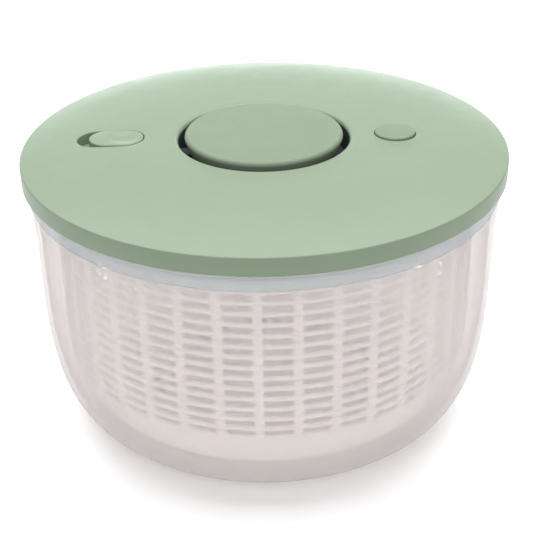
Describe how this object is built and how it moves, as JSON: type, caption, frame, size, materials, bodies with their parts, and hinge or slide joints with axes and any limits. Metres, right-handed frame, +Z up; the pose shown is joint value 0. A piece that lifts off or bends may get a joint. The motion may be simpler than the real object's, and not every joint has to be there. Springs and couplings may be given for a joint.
{
  "type": "pump salad spinner",
  "caption": "Round salad spinner: frosted bowl, slotted basket that turns inside it, and a domed lid with a push-down pump button, a brake button and a sliding lock.",
  "frame": {"origin": "centre of the base, on the surface that the spinner stands on", "axes": "+Z up through the pump button, -Y towards the viewer, the lock on -X and the brake on +X"},
  "size_m": [0.2712, 0.2712, 0.1679],
  "materials": {
    "frosted_plastic": "frosted translucent copolymer, polished band under the rim",
    "grey_rubber": "soft matt rubber",
    "white_plastic": "natural white polypropylene, satin",
    "clear_white_plastic": "milky translucent polypropylene, satin",
    "acetal": "slippery white acetal",
    "dark_acetal": "slippery dark grey acetal",
    "sage_plastic": "sage green moulded plastic, satin",
    "sage_soft_touch": "sage green soft-touch coating, matt",
    "silicone": "translucent silicone",
    "steel": "zinc-plated or stainless steel"
  },
  "bodies": {
    "base": {"bowl": "frosted_plastic", "non_slip_ring": "grey_rubber"},
    "pivot": {"pivot_bush": "acetal"},
    "basket": {"basket": "white_plastic"},
    "lid": {"lid_cover": "sage_plastic", "lid_underplate": "clear_white_plastic", "lid_seal": "silicone", "spindle_bearing": "acetal", "return_spring": "steel", "brake_spring": "steel", "lid_screw_1": "steel", "lid_screw_2": "steel", "lid_screw_3": "steel", "lid_screw_4": "steel", "lid_screw_5": "steel", "lid_screw_6": "steel"},
    "pump": {"pump_cap": "sage_soft_touch", "pump_plunger": "white_plastic", "spiral_nut": "acetal", "pump_screw_1": "steel", "pump_screw_2": "steel", "pump_screw_3": "steel"},
    "spindle": {"drive_spindle": "acetal", "ratchet_wheel": "acetal", "spindle_washer": "steel", "spindle_screw": "steel"},
    "turntable": {"turntable": "white_plastic"},
    "brake": {"brake_button": "sage_soft_touch", "brake_pad": "grey_rubber"},
    "lock": {"lock_slider": "sage_plastic", "lock_bolt": "dark_acetal", "lock_screw": "steel"}
  },
  "joints": [
    {"name": "basket_lift", "type": "slide", "parent": "base", "child": "pivot", "axis": [0, 0, 1], "range_m": [0, 0.16]},
    {"name": "basket_spin", "type": "hinge", "parent": "pivot", "child": "basket", "pos_m": [0, 0, 0.012], "axis": [0, 0, 1], "continuous": true},
    {"name": "lid_lift", "type": "slide", "parent": "pivot", "child": "lid", "axis": [0, 0, 1], "range_m": [0, 0.08]},
    {"name": "pump_press", "type": "slide", "parent": "lid", "child": "pump", "axis": [0, 0, 1], "range_m": [0, 0.032], "deforming": ["return_spring"]},
    {"name": "spindle_turn", "type": "hinge", "parent": "lid", "child": "spindle", "pos_m": [0, 0, 0.1], "axis": [0, 0, 1], "range_deg": [0, 385]},
    {"name": "turntable_spin", "type": "hinge", "parent": "lid", "child": "turntable", "pos_m": [0, 0, 0.094], "axis": [0, 0, 1], "continuous": true},
    {"name": "brake_press", "type": "slide", "parent": "lid", "child": "brake", "axis": [0, 0, -1], "range_m": [0, 0.003], "stiffness_N_per_m": 500, "springref_m": -0.002, "deforming": ["brake_spring"]},
    {"name": "lock_slide", "type": "slide", "parent": "lid", "child": "lock", "axis": [-1, 0, 0], "range_m": [0, 0.006]}
  ],
  "couplings": [
    {"joint": "spindle_turn", "follows": "pump_press", "rad_per_m": 209.44},
    {"joint": "basket_spin", "follows": "turntable_spin", "ratio": 1}
  ]
}
